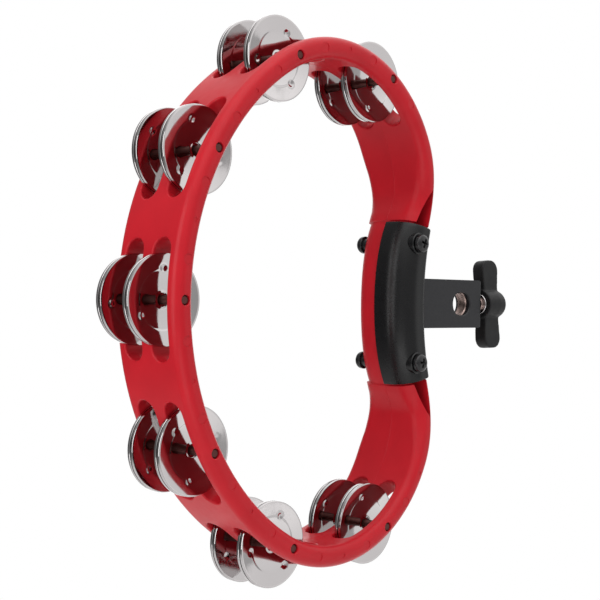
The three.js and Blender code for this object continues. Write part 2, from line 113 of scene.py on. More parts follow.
# The handle's cover, its bolts, and the rod clamp.
GAP = 0.3
COVER_THICKNESS = 1.9
COVER_HALF_LENGTH = 39.6
COVER_EDGE_BOW = 1.2
COVER_WRAP_Y = -15.5
COVER_FILLET = 0.6
COVER_FILLET_RING = 0.18
PAD_RADIUS = 5.6
PAD_ROOT_Y = -14
PAD_CHAMFER = 0.4
BOLT_BORE = 2.7
BOLT_RADIUS = 2.4
BARREL_RADIUS = 3.4
BARREL_BORE_START_Y = -8.3
HEAD_RADIUS = 4.6
HEAD_SIDE = 1.3
HEAD_HEIGHT = 3.2
REAR_HEAD_HEIGHT = 4.2
HEAD_BEVEL = 0.08
RECESS_DEPTH = 2.3
RECESS_FLOOR = (1.0, 0.42)
RECESS_MOUTH = (2.95, 0.72)
RECESS_TURNS = {"top": (22, 40), "bottom": (12, 68)}
GROOVED_LENGTH = 5
GROOVE_PITCH = 0.5
GROOVE_DEPTH = 0.35
PLATE = 2
BEND_RADIUS = 3
BRACKET_CORNER = 4
BRACKET_HALF_HEIGHT = 13.2
BRACKET_EDGE = 0.35
BRACKET_EAR_HEIGHT = 36
EAR_CLEARANCE = 0.45
NOTCH_CLEARANCE = 0.5
NOTCH_START_X = -55
NOTCH_END_X = -40
ROD_HOLE = 6.25
ROD_SLOT_SHIFT = 1.2
ROD_HOLE_CHAMFER = 0.5
EYE_RADIUS = 9.4
EYE_CORNER = 1.1
BARREL_BORE = 3.7
SHANK_RADIUS = 2.9
SHANK_CLEARANCE = 0.4
THREAD_PITCH = 1
THREAD_DEPTH = 0.45
COLLAR_RADIUS = 4.4
COLLAR_END_X = 21.2
WASHER_END_X = 22.4
HUB_START_X = WASHER_END_X + GAP
HUB_RADIUS = 8.1
HUB_CROWN = ((0.93, 2.9), (0.78, 1.4), (0.5, 0.4))
HUB_GRAIN = 0.4
WING_START_X = 22.4
WING_END_X = 37
WING_HALF_SPAN = 24.9
WING_HALF_WIDTH = 3.7
WING_WAIST = 1.6
WING_TILT = math.radians(-3.5)
INSERT_RADIUS = 5
INSERT_LENGTH = 6

# The camera stands level with the rod hole, on the player's side of the bow.
CAMERA_PLACE = Vector((-575.24, -437.52, -0.11))
CAMERA_BACK = Vector((-0.71870, -0.69532, -0.00147))
CAMERA_UP = Vector((-0.01046, 0.00870, 0.99991))
CAMERA_RIGHT = CAMERA_UP.cross(CAMERA_BACK).normalized()
CAMERA_LENS = 77.8
FLOOR_DROP = 0.22
FLOOR_CENTRE_X = -0.09
FLOOR_RADIUS = 0.95
FLOOR_FADE_START = 0.3
FLOOR_FADE_MARGIN = 0.05

# The light round the object, as (position, brightness) pairs over a direction's share along
# an axis. The tent is brightest overhead and dim in a level band, the band is darkest on the
# left, and the paper behind the object is white. Reflections see the room brighter by a gain.
TENT_LEVELS = (
    (-1, 0.8), (-0.4, 0.8), (-0.17, 0.45), (-0.04, 0.38),
    (0.04, 0.38), (0.17, 0.45), (0.42, 0.9), (1, 1.3),
)
SIDE_LEVELS = ((-1, 0.25), (-0.7, 0.3), (0, 1), (1, 1))
PAPER_LEVELS = ((-1, 0), (0.8, 0), (0.93, 1), (1, 1))
MIRRORED_GAIN = 1.5

# The softboxes, as (name, place in metres, width and height, watts). They all face the loop.
SOFTBOXES = (
    ("overhead", (-0.5, -0.5, 1.3), (1.6, 1.4), 8),
    ("low_left", (-1.2, -1.0, -0.75), (1.1, 0.7), 4),
    ("left", (-1.65, 0.1, 0.3), (1.0, 1.4), 14),
    ("far_right", (1.85, -2.2, 0), (1.3, 2.2), 5.5),
)
SOFTBOX_TARGET = (-0.1, 0, 0)

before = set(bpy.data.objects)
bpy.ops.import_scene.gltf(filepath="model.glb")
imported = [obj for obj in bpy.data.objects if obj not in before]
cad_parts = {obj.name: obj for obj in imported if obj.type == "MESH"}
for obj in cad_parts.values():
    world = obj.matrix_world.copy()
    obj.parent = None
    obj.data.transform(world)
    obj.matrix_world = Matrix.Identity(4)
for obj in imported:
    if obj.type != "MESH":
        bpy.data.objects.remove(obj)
cad_low, cad_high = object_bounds()
Spot = namedtuple("Spot", "x z normal_x normal_z")
Arc = namedtuple("Arc", "centre radius start end facing")
Section = namedtuple("Section", "outer inner half_depth outer_radius inner_radius")


def box_mm(node):
    low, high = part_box(node)
    return low / MM, high / MM


bolt_low, bolt_high = box_mm("bolt_top")
BOLT_X = (bolt_low.x + bolt_high.x) / 2
BOLT_HEIGHTS = ((bolt_low.z + bolt_high.z) / 2, -(bolt_low.z + bolt_high.z) / 2)
jingle_low, jingle_high = box_mm("jingle_4_front_near")
JINGLE_RADIUS = (jingle_high.z - jingle_low.z) / 2


# ---- meshes --------------------------------------------------------------------------------


def new_piece(name, mesh):
    piece = bpy.data.objects.new(name, mesh)
    bpy.context.scene.collection.objects.link(piece)
    return piece


def closed_mesh(name, vertices, faces):
    """A closed skin, with doubled points merged and its faces turned outwards."""
    mesh = bpy.data.meshes.new(name)
    mesh.from_pydata(vertices, [], faces)
    shape = bmesh.new()
    shape.from_mesh(mesh)
    bmesh.ops.remove_doubles(shape, verts=shape.verts, dist=1e-5)
    bmesh.ops.recalc_face_normals(shape, faces=shape.faces)
    shape.to_mesh(mesh)
    shape.free()
    return new_piece(name, mesh)


def skin(name, rings, is_loop=False):
    """Skins a row of equal closed rings. A row that isn't a loop gets two end faces."""
    size = len(rings[0])
    vertices = [point for ring in rings for point in ring]
    faces = []
    for row in range(len(rings) if is_loop else len(rings) - 1):
        here = row * size
        there = (row + 1) % len(rings) * size
        for side in range(size):
            turn = (side + 1) % size
            faces.append((here + side, there + side, there + turn, here + turn))
    if not is_loop:
        faces.append(tuple(range(size)))
        faces.append(tuple(range(len(vertices) - size, len(vertices))))
    return closed_mesh(name, vertices, faces)


def turned(name, profile, place=(0, 0, 0), axis="Y", sides=48, is_loop=False):
    """Turns a profile of (radius, position) points about an axis through a place."""
    rings = []
    for radius, position in profile:
        ring = []
        for side in range(sides):
            angle = TURN * side / sides
            across = radius * math.cos(angle)
            up = radius * math.sin(angle)
            point = Vector((position, across, up)) if axis == "X" else Vector((across, position, up))
            ring.append(Vector(place) + point)
        rings.append(ring)
    return skin(name, rings, is_loop)


def prism(name, outline, low_y, high_y):
    """An outline of (x, z) points, drawn out along Y."""
    return skin(name, [[Vector((x, y, z)) for x, z in outline] for y in (low_y, high_y)])


def block(name, low, high):
    outline = [(low[0], low[2]), (high[0], low[2]), (high[0], high[2]), (low[0], high[2])]
    return prism(name, outline, low[1], high[1])


def arc_points(centre, radius, start_deg, end_deg, steps):
    """Points (a, b) along an arc, both ends included."""
    points = []
    for step in range(steps + 1):
        angle = math.radians(start_deg + (end_deg - start_deg) * step / steps)
        points.append((centre[0] + radius * math.cos(angle), centre[1] + radius * math.sin(angle)))
    return points


def apply_modifiers(piece):
    """Keeps what the piece's modifiers make as its mesh."""
    graph = bpy.context.evaluated_depsgraph_get()
    graph.update()
    made = bpy.data.meshes.new_from_object(piece.evaluated_get(graph))
    piece.modifiers.clear()
    piece.data = made


def combine(piece, tool, operation):
    """Joins or cuts one closed piece with another, and uses the tool up."""
    modifier = piece.modifiers.new("combine", "BOOLEAN")
    modifier.solver = "MANIFOLD"
    modifier.operation = operation
    modifier.object = tool
    apply_modifiers(piece)
    bpy.data.objects.remove(tool)


def cut(piece, *tools):
    for tool in tools:
        combine(piece, tool, "DIFFERENCE")


def add(piece, *tools):
    for tool in tools:
        combine(piece, tool, "UNION")


def gathered(name, tools):
    """One object that holds several closed pieces which stay clear of each other."""
    shape = bmesh.new()
    for tool in tools:
        shape.from_mesh(tool.data)
        bpy.data.objects.remove(tool)
    mesh = bpy.data.meshes.new(name)
    shape.to_mesh(mesh)
    shape.free()
    return new_piece(name, mesh)


def soften(piece, width, segments=2, angle=35):
    """Rounds the edges that are sharper than an angle."""
    modifier = piece.modifiers.new("soften", "BEVEL")
    modifier.width = width
    modifier.segments = segments
    modifier.limit_method = "ANGLE"
    modifier.angle_limit = math.radians(angle)
    modifier.harden_normals = False
    apply_modifiers(piece)


def shade(piece, angle=30):
    """Smooth shading with crisp edges, led by the larger faces."""
    piece.data.shade_smooth()
    piece.data.set_sharp_from_angle(angle=math.radians(angle))
    modifier = piece.modifiers.new("weigh", "WEIGHTED_NORMAL")
    modifier.keep_sharp = True
    modifier.weight = 50
    apply_modifiers(piece)


def finish_piece(piece, body, slot, material, *nodes):
    """Scales a piece to metres and puts it in its CAD nodes' place."""
    piece.data.transform(Matrix.Scale(MM, 4))
    dress(piece, body, slot, material, *nodes)


def dress(piece, body, slot, material, *nodes):
    piece.data.materials.clear()
    piece.data.materials.append(material)
    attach(piece, body)
    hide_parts(*nodes)


# ---- materials -----------------------------------------------------------------------------


class Finish:
    """A material round one Principled shader, with helpers for its procedural detail."""

    def __init__(self, name, color, roughness, metallic=0.0, **sockets):
        self.material = bpy.data.materials.new(name)
        self.material.use_nodes = True
        self.nodes = self.material.node_tree.nodes
        self.links = self.material.node_tree.links
        self.shader = self.nodes["Principled BSDF"]
        self.color = color
        self.roughness = roughness
        self.shader.inputs["Base Color"].default_value = (*color, 1)
        self.shader.inputs["Roughness"].default_value = roughness
        self.shader.inputs["Metallic"].default_value = metallic
        for socket, value in sockets.items():
            self.shader.inputs[socket.replace("_", " ")].default_value = value
        self.place = self.nodes.new("ShaderNodeTexCoord").outputs["Object"]
        self.height = None

    def noise(self, scale, detail=3.0, stretch=(1, 1, 1)):
        """A noise with a number of cells to the metre, drawn out along the axes."""
        mapping = self.nodes.new("ShaderNodeMapping")
        mapping.inputs["Scale"].default_value = stretch
        self.links.new(self.place, mapping.inputs["Vector"])
        noise = self.nodes.new("ShaderNodeTexNoise")
        noise.inputs["Scale"].default_value = scale
        noise.inputs["Detail"].default_value = detail
        self.links.new(mapping.outputs["Vector"], noise.inputs["Vector"])
        return noise.outputs["Fac"]

    def spread(self, fac, low, high):
        """Maps the middle of a noise to a range."""
        node = self.nodes.new("ShaderNodeMapRange")
        node.inputs["From Min"].default_value = 0.3
        node.inputs["From Max"].default_value = 0.7
        node.inputs["To Min"].default_value = low
        node.inputs["To Max"].default_value = high
        self.links.new(fac, node.inputs["Value"])
        return node.outputs["Result"]

    def vary_color(self, fac, darker, lighter):
        ramp = self.nodes.new("ShaderNodeValToRGB")
        ramp.color_ramp.elements[0].position = 0.3
        ramp.color_ramp.elements[1].position = 0.7
        ramp.color_ramp.elements[0].color = (*[c * darker for c in self.color], 1)
        ramp.color_ramp.elements[1].color = (*[c * lighter for c in self.color], 1)
        self.links.new(fac, ramp.inputs["Fac"])
        self.links.new(ramp.outputs["Color"], self.shader.inputs["Base Color"])

    def vary_roughness(self, fac, low, high):
        self.links.new(self.spread(fac, low, high), self.shader.inputs["Roughness"])

    def bump(self, fac, strength, distance):
        """Adds relief of a depth in metres on top of what is there."""
        bump = self.nodes.new("ShaderNodeBump")
        bump.inputs["Strength"].default_value = strength
        bump.inputs["Distance"].default_value = distance
        self.links.new(fac, bump.inputs["Height"])
        if self.height is not None:
            self.links.new(self.height, bump.inputs["Normal"])
        self.height = bump.outputs["Normal"]
        self.links.new(self.height, self.shader.inputs["Normal"])


def make_red_abs():
    finish = Finish("red_abs", (0.455, 0.010, 0.018), 0.32, Specular_IOR_Level=0.16)
    finish.vary_color(finish.noise(60, 4), 0.94, 1.05)
    finish.vary_roughness(finish.noise(300, 4), 0.28, 0.36)
    finish.bump(finish.noise(3200, 2), 0.25, 0.00003)
    finish.bump(finish.noise(160, 2), 0.12, 0.0002)
    return finish.material


def make_black_plastic():
    finish = Finish("black_plastic", (0.004, 0.004, 0.0045), 0.27, Specular_IOR_Level=0.27)
    finish.vary_roughness(finish.noise(250, 4), 0.25, 0.3)
    finish.bump(finish.noise(2600, 2), 0.1, 0.00003)
    return finish.material


def make_knob_plastic():
    finish = Finish("knob_plastic", (0.006, 0.006, 0.0065), 0.5, Specular_IOR_Level=0.22)
    finish.vary_roughness(finish.noise(300, 4), 0.44, 0.56)
    finish.bump(finish.noise(1800, 3), 0.5, 0.00006)
    return finish.material


def make_powder_coat():
    finish = Finish("powder_coat", (0.012, 0.012, 0.014), 0.37, Specular_IOR_Level=0.25)
    finish.vary_color(finish.noise(900, 2), 0.85, 1.2)
    finish.vary_roughness(finish.noise(500, 3), 0.34, 0.42)
    finish.bump(finish.noise(1100, 2), 0.25, 0.00006)
    return finish.material


def make_black_oxide():
    finish = Finish("black_oxide", (0.012, 0.012, 0.013), 0.26, 0.35)
    finish.vary_roughness(finish.noise(700, 4), 0.2, 0.34)
    finish.bump(finish.noise(1500, 3), 0.3, 0.00004)
    return finish.material


def make_nickel():
    finish = Finish("nickel_steel", (0.45, 0.43, 0.43), 0.06, 1.0)
    finish.vary_roughness(finish.noise(260, 5), 0.04, 0.10)
    finish.bump(finish.noise(90, 2), 0.1, 0.0002)
    return finish.material


def make_plain_steel():
    finish = Finish("plain_steel", (0.27, 0.2, 0.18), 0.3, 1.0)
    finish.vary_color(finish.noise(400, 5, (0.3, 1, 1)), 0.25, 1.5)
    finish.vary_roughness(finish.noise(900, 4, (0.2, 1, 1)), 0.2, 0.5)
    finish.bump(finish.noise(1400, 3, (0.15, 1, 1)), 0.4, 0.0001)
    return finish.material


# The pins' dark red-brown colour is painted shade: it stands in for the shaded red plastic of the recess
# round each pin's end, not the steel's own colour.
def make_pin_metal_painted_shade():
    finish = Finish("pin_metal_painted_shade", (0.1, 0.04, 0.036), 0.5, 1.0)
    finish.vary_roughness(finish.noise(900, 4), 0.4, 0.6)
    finish.bump(finish.noise(2000, 2), 0.4, 0.00005)
    return finish.material


# ---- the loop ------------------------------------------------------------------------------


def along(centre, radius, angle):
    return (centre[0] + radius * math.cos(angle), centre[1] + radius * math.sin(angle))


def upper_arcs():
    bow_end = math.pi - BOW_HALF_ANGLE
    bow = (LOOP_CENTRE_X, 0)
    shoulder = along(bow, BOW_RADIUS - SHOULDER_RADIUS, bow_end)
    knuckle = along(shoulder, SHOULDER_RADIUS - KNUCKLE_RADIUS, SHOULDER_END_ANGLE)
    span = KNUCKLE_RADIUS + HANDLE_RADIUS
    handle_angle = -math.asin(knuckle[1] / span)
    handle = along(knuckle, span, handle_angle)
    return [
        Arc(bow, BOW_RADIUS, math.pi, bow_end, 1),
        Arc(shoulder, SHOULDER_RADIUS, bow_end, SHOULDER_END_ANGLE, 1),
        Arc(knuckle, KNUCKLE_RADIUS, SHOULDER_END_ANGLE, handle_angle, 1),
        Arc(handle, HANDLE_RADIUS, math.pi + handle_angle, math.pi, -1),
    ]


def length_of(arc):
    return abs(arc.end - arc.start) * arc.radius


ARCS = upper_arcs()
HALF_LENGTH = sum(length_of(arc) for arc in ARCS)


def station(distance):
    """A place on the centreline at a distance from the middle of the bow, positive upwards."""
    rest = min(abs(distance), HALF_LENGTH)
    for arc in ARCS:
        if rest <= length_of(arc) or arc is ARCS[-1]:
            break
        rest -= length_of(arc)
    angle = arc.start + (arc.end - arc.start) * rest / length_of(arc)
    x, z = along(arc.centre, arc.radius, angle)
    side = -1 if distance < 0 else 1
    return Spot(x, side * z, arc.facing * math.cos(angle), side * arc.facing * math.sin(angle))


def place(spot, outward, y):
    return Vector((spot.x + outward * spot.normal_x, y, spot.z + outward * spot.normal_z))


def mix(low, high, share):
    return low + (high - low) * share


def smooth_step(value):
    clamped = min(max(value, 0), 1)
    return clamped * clamped * (3 - 2 * clamped)


def is_in_grip(spot):
    return spot.x > LOOP_CENTRE_X and abs(spot.z) < GRIP_HALF_LENGTH


def wall_at(spot):
    if spot.x < LOOP_CENTRE_X:
        return WALL
    if is_in_grip(spot):
        return GRIP_WALL - (GRIP_WALL - GRIP_END_WALL) * (abs(spot.z) / GRIP_HALF_LENGTH) ** 4
    rise = (CHANNEL_HALF_LENGTH - abs(spot.z)) / (CHANNEL_HALF_LENGTH - GRIP_HALF_LENGTH)
    return mix(WALL, SHOULDER_OF_GRIP_WALL, smooth_step(rise))


def handle_share(spot):
    if spot.x < LOOP_CENTRE_X:
        return 0
    return smooth_step((HANDLE_BLEND_HEIGHT - abs(spot.z)) / (HANDLE_BLEND_HEIGHT - GRIP_HALF_LENGTH))


def section_at(spot):
    share = handle_share(spot)
    half_depth = mix(HALF_DEPTH, HANDLE_HALF_DEPTH, share) - (GRIP_RECESS if is_in_grip(spot) else 0)
    wall = wall_at(spot)
    outer_radius = mix(RIM_RADIUS, HANDLE_OUTER_RADIUS, share)
    inner_radius = min(mix(RIM_RADIUS, HANDLE_INNER_RADIUS, share), wall - outer_radius - GAP)
    return Section(WALL / 2, WALL / 2 - wall, half_depth, outer_radius, inner_radius)


def section_ring(spot, grow=0.0):
    """The moulding's section as a closed ring, with a fine parting line on its inner face."""
    section = section_at(spot)
    outer_seat = section.outer - section.outer_radius
    inner_seat = section.inner + section.inner_radius
    outer_edge = section.half_depth - section.outer_radius
    inner_edge = section.half_depth - section.inner_radius
    outline = arc_points((outer_seat, outer_edge), section.outer_radius + grow, 0, 90, CORNER_STEPS)
    outline += arc_points((inner_seat, inner_edge), section.inner_radius + grow, 90, 180, CORNER_STEPS)
    outline += [(section.inner - grow, inner_edge * share) for share in (0.66, 0.33, 0.02)]
    outline.append((section.inner - grow - PARTING_RELIEF, 0))
    outline += [(section.inner - grow, inner_edge * share) for share in (-0.02, -0.33, -0.66)]
    outline += arc_points((inner_seat, -inner_edge), section.inner_radius + grow, 180, 270, CORNER_STEPS)
    outline += arc_points((outer_seat, -outer_edge), section.outer_radius + grow, 270, 360, CORNER_STEPS)
    outline += [(section.outer + grow, outer_edge * share) for share in (-0.6, -0.2, 0.2, 0.6)]
    return [place(spot, outward, y) for outward, y in outline]


def distance_at_height(height):
    """How far along the centreline the handle's upper half reaches a height, by halving."""
    low = HALF_LENGTH - length_of(ARCS[3]) - length_of(ARCS[2])
    high = HALF_LENGTH
    for _ in range(40):
        middle = (low + high) / 2
        if station(middle).z > height:
            low = middle
        else:
            high = middle
    return low


def loop_skin():
    ledge = distance_at_height(GRIP_HALF_LENGTH)
    distances = [ledge - LEDGE_RUN, ledge + LEDGE_RUN]
    steps = math.ceil(HALF_LENGTH / RING_STEP)
    for step in range(steps):
        distance = HALF_LENGTH * step / steps
        if abs(distance - ledge) > RING_STEP / 3:
            distances.append(distance)
    distances.sort()
    whole = distances + [HALF_LENGTH] + [-distance for distance in reversed(distances[1:])]
    return skin("frame_moulding", [section_ring(station(distance)) for distance in whole], is_loop=True)


def channel_width_at(height):
    reach = min(abs(height) / CHANNEL_HALF_LENGTH, 1)
    return CHANNEL_WIDTH * (1 - reach * reach) ** 0.6


def channel_outline(half_length, margin=0.0, steps=40):
    """The hollow handle's lens-shaped outline in X and Z."""
    outside = []
    inside = []
    for step in range(steps + 1):
        height = half_length * (2 * step / steps - 1)
        side = -1 if height < 0 else 1
        spot = station(side * distance_at_height(abs(height)))
        outward = WALL / 2 - OUTER_SKIN
        width = channel_width_at(height)
        for points, reach in ((outside, outward - margin), (inside, outward - width + margin)):
            point = place(spot, reach, 0)
            points.append((point.x, point.z))
    if margin == 0:
        inside = inside[1:-1]
    return outside + inside[::-1]


def slot_cutter(distance, row_y):
    """A slot that follows the loop, flared where it breaks through the wall's two faces."""
    radius = SLOT_WIDTH / 2
    straight = SLOT_LENGTH / 2 - radius
    inner = WALL / 2 - wall_at(station(distance))
    flare = [(SLOT_FILLET * (1 - math.sin(a)), SLOT_FILLET * (1 - math.cos(a)))
             for a in (math.radians(18 * step) for step in range(6))]
    levels = [(inner - CUT_MARGIN, SLOT_FILLET)]
    levels += [(inner + depth, grow) for grow, depth in flare]
    levels += [(WALL / 2 - depth, grow) for grow, depth in reversed(flare)]
    levels.append((WALL / 2 + CAP_CLEARANCE, SLOT_FILLET))
    side_runs = [2 * straight * step / SLOT_SIDE_STEPS for step in range(1, SLOT_SIDE_STEPS)]
    rings = []
    for outward, grow in levels:
        outline = arc_points((straight, 0), radius + grow, -90, 90, SLOT_END_STEPS)
        outline += [(straight - run, radius + grow) for run in side_runs]
        outline += arc_points((-straight, 0), radius + grow, 90, 270, SLOT_END_STEPS)
        outline += [(run - straight, -radius - grow) for run in side_runs]
        rings.append([place(station(distance + run), outward, row_y + across) for run, across in outline])
    return skin("slot", rings)


def bore(radius, spot_x, spot_z, low_y, high_y, sides=40):
    return turned("bore", [(radius, low_y), (radius, high_y)], (spot_x, 0, spot_z), sides=sides)


def pin_cutter(spot, radius):
    """A bore through both rims with a small countersink at each face."""
    profile = [(radius + 2 * COUNTERSINK, -HALF_DEPTH - 1), (radius + COUNTERSINK, -HALF_DEPTH)]
    profile.append((radius, COUNTERSINK_DEPTH - HALF_DEPTH))
    profile += [(position, -depth) for position, depth in reversed(profile)]
    return turned("pin_bore", profile, (spot.x, 0, spot.z), sides=32)


def ejector_marks():
    """Shallow round marks that the mould's ejector pins leave on the rims, beside each slot."""
    marks = []
    for middle in STATION_DISTANCES:
        for offset, radius, depth in EJECTOR_MARKS:
            spot = station(middle + offset)
            for side in (-1, 1):
                floor_y = side * (HALF_DEPTH - depth)
                marks.append(bore(radius, spot.x, spot.z, floor_y, side * (HALF_DEPTH + CUT_MARGIN), 28))
    return marks


def make_frame(material):
    moulding = loop_skin()
    every_y = HALF_DEPTH + CUT_MARGIN
    _, bracket_high = box_mm("bracket")
    cut(moulding, prism("channel", channel_outline(CHANNEL_HALF_LENGTH), -every_y, every_y))
    notch = BRACKET_HALF_HEIGHT + NOTCH_CLEARANCE
    notch_low = (NOTCH_START_X, -every_y, -notch)
    cut(moulding, block("notch", notch_low, (NOTCH_END_X, every_y, notch)))
    envelope = loop_skin()
    boss_y = bracket_high.y + NOTCH_CLEARANCE
    spans = [(z, *ends) for z in BOLT_HEIGHTS for ends in ((-every_y, -boss_y), (boss_y, every_y))]
    bosses = gathered("bosses", [bore(PAD_RADIUS, BOLT_X, z, start, end) for z, start, end in spans])
    combine(bosses, envelope, "INTERSECT")
    add(moulding, bosses)
    for radius, start, end in ((BOLT_BORE, -every_y, 0), (BARREL_BORE, BARREL_BORE_START_Y, every_y)):
        cut(moulding, gathered("bores", [bore(radius, BOLT_X, z, start, end) for z in BOLT_HEIGHTS]))
    places = itertools.product(STATION_DISTANCES, (-ROW_Y, ROW_Y))
    cut(moulding, gathered("slots", [slot_cutter(middle, row_y) for middle, row_y in places]))
    pin_low, pin_high = box_mm("pin_4")
    pin_radius = (pin_high.z - pin_low.z) / 2 + PIN_CLEARANCE
    pin_bores = [pin_cutter(station(middle), pin_radius) for middle in STATION_DISTANCES]
    cut(moulding, gathered("pins", pin_bores))
    cut(moulding, gathered("marks", ejector_marks()))
    shade(moulding)
    finish_piece(moulding, "body", "red_abs", material, "frame")


# ---- the saddle cover ----------------------------------------------------------------------


def cover_path(spot, grow):
    """The cover's section from its edge on the inner face, round the front, to the outer face."""
    section = section_at(spot)
    edge_y = -COVER_EDGE_BOW * (spot.z / COVER_HALF_LENGTH) ** 2
    inner_y = section.inner_radius - section.half_depth
    outer_y = section.outer_radius - section.half_depth
    inner_seat = section.inner + section.inner_radius
    outer_seat = section.outer - section.outer_radius
    path = [(section.inner - grow, mix(edge_y, inner_y, step / 6)) for step in range(6)]
    path += arc_points((inner_seat, inner_y), section.inner_radius + grow, 180, 270, 14)
    path += arc_points((outer_seat, outer_y), section.outer_radius + grow, 270, 360, 8)
    path.append((section.outer + grow, COVER_WRAP_Y))
    return path


def handle_station(run):
    """A place on the centreline at a distance below the middle of the handle."""
    return station(HALF_LENGTH + run if run < 0 else -(HALF_LENGTH - run))


def make_cover(material):
    half = HALF_LENGTH - distance_at_height(COVER_HALF_LENGTH)
    runs = [-half, -half + COVER_FILLET_RING, -half + COVER_FILLET]
    runs += [mix(-half + 2, half - 2, step / 36) for step in range(37)]
    runs += [half - COVER_FILLET, half - COVER_FILLET_RING, half]
    rings = []
    for run in runs:
        from_end = min((half - abs(run)) / COVER_FILLET, 1)
        lift = COVER_FILLET * (1 - math.sqrt(max(0, 1 - (1 - from_end) ** 2)))
        spot = handle_station(run)
        outer = cover_path(spot, GAP + COVER_THICKNESS - lift)
        inner = cover_path(spot, GAP)
        rings.append([place(spot, outward, y) for outward, y in outer + inner[::-1]])
    cover = skin("saddle_cover_moulding", rings)
    low, _ = box_mm("saddle_cover")
    for z in BOLT_HEIGHTS:
        profile = [(PAD_RADIUS, PAD_ROOT_Y), (PAD_RADIUS, low.y + PAD_CHAMFER)]
        profile.append((PAD_RADIUS - PAD_CHAMFER, low.y))
        add(cover, turned("pad", profile, (BOLT_X, 0, z), sides=56))
    cut(cover, gathered("bores", [bore(BOLT_BORE, BOLT_X, z, low.y - 1, 0) for z in BOLT_HEIGHTS]))
    hollow = skin("hollow", [
        [place(spot, outward, y) for outward, y in cover_path(spot, GAP - 0.02) + [(WALL / 2 + 0.3, 6)]]
        for spot in (handle_station(run) for run in runs)
    ])
    cut(cover, hollow)
    shade(cover)
    finish_piece(cover, "body", "black_plastic", material, "saddle_cover")


# ---- bolts ---------------------------------------------------------------------------------


def head_profile(toward, height):
    """A pan head seated on 0, with its crown towards +1 or -1 along the axis."""
    rim = HEAD_RADIUS - 0.35
    points = [(0, 0), (rim, 0), (HEAD_RADIUS, 0.3), (HEAD_RADIUS, HEAD_SIDE)]
    for step in range(1, 9):
        angle = math.radians(10 * step)
        rise = HEAD_SIDE + (height - HEAD_SIDE) * math.sin(angle) ** 0.9
        points.append((HEAD_RADIUS * math.cos(angle) ** 0.75, rise))
    points.append((0, height))
    return [(radius, toward * rise) for radius, rise in points]


def cross_recess(seat_y, toward, height, z, turn_deg):
    """A cross recess that narrows towards its floor."""
    arms = []
    top = toward * (height + 0.5)
    floor = toward * (height - RECESS_DEPTH)
    for angle in (0, 90):
        rings = []
        for y, (length, width) in ((floor, RECESS_FLOOR), (top, RECESS_MOUTH)):
            corners = ((-length, -width), (length, -width), (length, width), (-length, width))
            rings.append([Vector((across, y, up)) for across, up in corners])
        arm = skin("arm", rings)
        spin = Matrix.Rotation(math.radians(turn_deg + angle), 4, "Y")
        arm.data.transform(Matrix.Translation((BOLT_X, seat_y, z)) @ spin)
        arms.append(arm)
    return arms


def make_bolts(material):
    pad_y = box_mm("saddle_cover")[0].y - GAP
    rear_y = HANDLE_HALF_DEPTH - GRIP_RECESS + GAP
    for (side, (front_turn, rear_turn)), z in zip(RECESS_TURNS.items(), BOLT_HEIGHTS):
        bolt_end = box_mm("bolt_" + side)[1].y
        front_head = head_profile(-1, HEAD_HEIGHT)
        bolt = turned("bolt_" + side + "_screw", front_head, (BOLT_X, pad_y, z), sides=56)
        shank = grooved_profile(BOLT_RADIUS, pad_y - 0.5, bolt_end)
        add(bolt, turned("shank", shank, (BOLT_X, 0, z), sides=32))
        cut(bolt, *cross_recess(pad_y, -1, HEAD_HEIGHT, z, front_turn))
        soften(bolt, HEAD_BEVEL, 1, 50)
        shade(bolt, 40)
        finish_piece(bolt, "body", "black_oxide", material, "bolt_" + side)
        nut_low, _ = box_mm("barrel_nut_" + side)
        rear_head = head_profile(1, REAR_HEAD_HEIGHT)
        nut = turned("barrel_nut_" + side + "_head", rear_head, (BOLT_X, rear_y, z), sides=56)
        add(nut, bore(BARREL_RADIUS, BOLT_X, z, nut_low.y, rear_y + 0.5))
        cut(nut, bore(BOLT_BORE, BOLT_X, z, nut_low.y - 1, bolt_end + CUT_MARGIN))
        cut(nut, *cross_recess(rear_y, 1, REAR_HEAD_HEIGHT, z, rear_turn))
        soften(nut, HEAD_BEVEL, 1, 50)
        shade(nut, 40)
        finish_piece(nut, "body", "black_oxide", material, "barrel_nut_" + side)


def grooved_profile(radius, low, high):
    """A shank whose end has plain grooves round it, which read as a thread at this size."""
    position = high - GROOVED_LENGTH
    points = [(0, low), (radius, low), (radius, position)]
    while position < high - 0.8:
        points.append((radius - GROOVE_DEPTH, position + GROOVE_PITCH / 2))
        points.append((radius, position + GROOVE_PITCH))
        position += GROOVE_PITCH
    points += [(radius - 0.5, high), (0, high)]
    return points


# ---- the rod clamp -------------------------------------------------------------------------


def strap_ring(z, low, high):
    """The folded strap's section in X and Y: two plates joined by a web at the outboard end."""
    half = high.y
    bend = high.x - BEND_RADIUS
    seat = half - BEND_RADIUS
    inside = BEND_RADIUS - PLATE
    outline = [(low.x, -half)] + arc_points((bend, -seat), BEND_RADIUS, -90, 0, 8)
    outline += arc_points((bend, seat), BEND_RADIUS, 0, 90, 8) + [(low.x, half), (low.x, half - PLATE)]
    outline += arc_points((bend, seat), inside, 90, 0, 6) + arc_points((bend, -seat), inside, 0, -90, 6)
    outline.append((low.x, PLATE - half))
    return [Vector((x, y, z)) for x, y in outline]


def rod_slot(reach):
    """The long hole through both plates, with its edges eased at the outer faces."""
    rings = []
    face = reach - 1
    seat = face - ROD_HOLE_CHAMFER
    past = 0.2
    mouth = ROD_HOLE_CHAMFER + past
    for y, grow in ((-face - past, mouth), (-seat, 0), (seat, 0), (face + past, mouth)):
        outline = arc_points((ROD_SLOT_SHIFT, 0), ROD_HOLE + grow, -90, 90, 36)
        outline += arc_points((-ROD_SLOT_SHIFT, 0), ROD_HOLE + grow, 90, 270, 36)
        rings.append([Vector((x, y, z)) for x, z in outline])
    return skin("rod_slot", rings)


